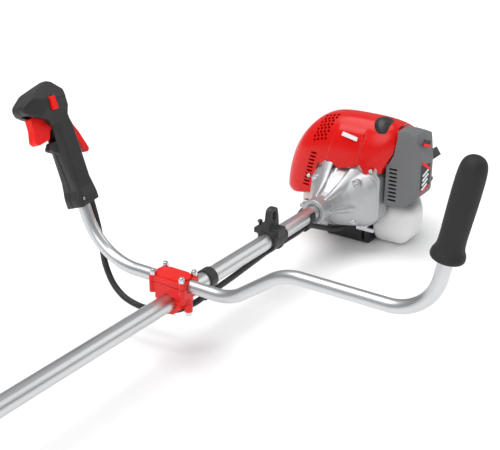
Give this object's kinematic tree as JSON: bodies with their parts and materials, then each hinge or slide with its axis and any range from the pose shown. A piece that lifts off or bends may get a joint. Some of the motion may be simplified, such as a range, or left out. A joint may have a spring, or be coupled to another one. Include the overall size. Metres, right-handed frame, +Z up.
{
  "type": "string trimmer",
  "caption": "Long straight tube with a petrol engine at one end, a string head and guard at the other, and a wide bent handlebar with a throttle handle and a rubber grip between.",
  "frame": {"origin": "on the ground, at the middle of the bottom face of the engine foot", "axes": "+X along the shaft from the engine to the cutting head, +Y to the operator's left, where the rubber grip is, +Z up"},
  "size_m": [1.818, 0.6865, 0.3983],
  "materials": {
    "painted_red": "gloss red paint on die-cast metal",
    "red_plastic": "gloss red moulded plastic",
    "red_matte": "satin red moulded plastic",
    "black_plastic": "fine-grained black moulding",
    "black_rubber": "matte black rubber",
    "grey_plastic": "satin grey moulding",
    "aluminium_tube": "satin drawn tube",
    "cast_alloy": "fine-blasted die casting",
    "bright_steel": "zinc-plated",
    "dark_steel": "dark heat-stained steel",
    "milky_plastic": "translucent natural plastic",
    "filter_foam": "open-cell foam",
    "nylon_line": "extruded nylon"
  },
  "bodies": {
    "machine": {"shaft_tube": "aluminium_tube", "shaft_bush_1": "black_rubber", "shaft_bush_2": "black_rubber", "cable_clip_front": "black_plastic", "cable_clip_rear": "black_plastic", "harness_hanger": "black_plastic", "strap_clip": "black_plastic", "bracket_cap": "painted_red", "bracket_block": "painted_red", "bracket_lower_clamp": "painted_red", "bracket_bolt_1": "bright_steel", "bracket_bolt_2": "bright_steel", "bracket_bolt_3": "bright_steel", "bracket_bolt_4": "bright_steel", "clamp_bolt_1": "bright_steel", "clamp_bolt_2": "bright_steel", "handlebar": "aluminium_tube", "rubber_grip": "black_rubber", "throttle_shell_outer": "black_plastic", "throttle_shell_inner": "black_plastic", "handle_screw": "bright_steel", "control_cable": "black_plastic", "clutch_housing": "cast_alloy", "clamp_screw": "bright_steel", "crankcase": "cast_alloy", "cylinder": "cast_alloy", "spark_plug": "milky_plastic", "plug_cap": "black_rubber", "muffler": "dark_steel", "carburettor": "cast_alloy", "engine_cover": "red_plastic", "air_filter_base": "black_plastic", "air_filter_element": "filter_foam", "fuel_tank": "milky_plastic", "engine_foot": "black_plastic", "starter_housing": "black_plastic", "gear_case": "cast_alloy", "debris_guard": "black_plastic", "line_cutter": "bright_steel"},
    "crank": {"crankshaft": "bright_steel", "flywheel": "cast_alloy", "clutch_shoes": "dark_steel"},
    "drive": {"clutch_drum": "dark_steel", "drive_shaft": "bright_steel", "bevel_pinion": "bright_steel"},
    "head": {"output_shaft": "bright_steel", "trimmer_head": "black_plastic", "trimmer_line": "nylon_line"},
    "bump_knob": {"spool_and_bump_knob": "red_matte"},
    "pulley": {"starter_pulley": "black_plastic"},
    "starter_pull": {"starter_grip": "black_plastic"},
    "trigger": {"throttle_trigger": "red_matte"},
    "lockout": {"lockout_lever": "red_matte"},
    "switch": {"stop_switch": "red_matte"},
    "choke": {"choke_lever": "red_matte"},
    "primer": {"primer_bulb": "milky_plastic"},
    "tank_cap": {"fuel_cap": "black_plastic"},
    "filter_cover": {"air_filter_cover": "grey_plastic"}
  },
  "joints": [
    {"name": "crank_spin", "type": "hinge", "parent": "machine", "child": "crank", "pos_m": [0, 0, 0.095], "axis": [1, 0, 0], "continuous": true},
    {"name": "drive_spin", "type": "hinge", "parent": "machine", "child": "drive", "pos_m": [0, 0, 0.095], "axis": [1, 0, 0], "continuous": true},
    {"name": "head_spin", "type": "hinge", "parent": "machine", "child": "head", "pos_m": [1.647, 0, 0.095], "axis": [-0.342, 0, 0.9397], "continuous": true},
    {"name": "bump_knob_press", "type": "slide", "parent": "head", "child": "bump_knob", "axis": [-0.342, 0, 0.9397], "range_m": [0, 0.005], "stiffness_N_per_m": 900},
    {"name": "pulley_turn", "type": "hinge", "parent": "machine", "child": "pulley", "pos_m": [0, 0, 0.095], "axis": [1, 0, 0], "range_deg": [-1109, 0]},
    {"name": "starter_pull", "type": "slide", "parent": "machine", "child": "starter_pull", "axis": [0, 0.8211, 0.5708], "range_m": [0, 0.6]},
    {"name": "throttle_pull", "type": "hinge", "parent": "machine", "child": "trigger", "pos_m": [0.567, -0.20933, 0.32762], "axis": [0, 0.9409, 0.3387], "range_deg": [0, 14], "stiffness_Nm_per_rad": 0.3},
    {"name": "lockout_press", "type": "hinge", "parent": "machine", "child": "lockout", "pos_m": [0.533, -0.20696, 0.32103], "axis": [0, -0.9409, -0.3387], "range_deg": [0, 8], "stiffness_Nm_per_rad": 0.3},
    {"name": "stop_switch_slide", "type": "slide", "parent": "machine", "child": "switch", "axis": [0, -0.3387, 0.9409], "range_m": [0, 0.007]},
    {"name": "choke_turn", "type": "hinge", "parent": "machine", "child": "choke", "pos_m": [-0.035, 0.087, 0.139], "axis": [1, 0, 0], "range_deg": [0, 35]},
    {"name": "primer_press", "type": "slide", "parent": "machine", "child": "primer", "axis": [1, 0, 0], "range_m": [0, 0.005], "stiffness_N_per_m": 400},
    {"name": "tank_cap_turn", "type": "hinge", "parent": "machine", "child": "tank_cap", "pos_m": [-0.09, 0.052, 0.021], "axis": [1, 0, 0], "continuous": true},
    {"name": "filter_cover_off", "type": "slide", "parent": "machine", "child": "filter_cover", "axis": [0, 1, 0], "range_m": [0, 0.06]}
  ],
  "couplings": [
    {"joint": "head_spin", "follows": "drive_spin", "ratio": -0.73684},
    {"joint": "starter_pull", "follows": "pulley_turn", "m_per_rad": -0.031}
  ]
}
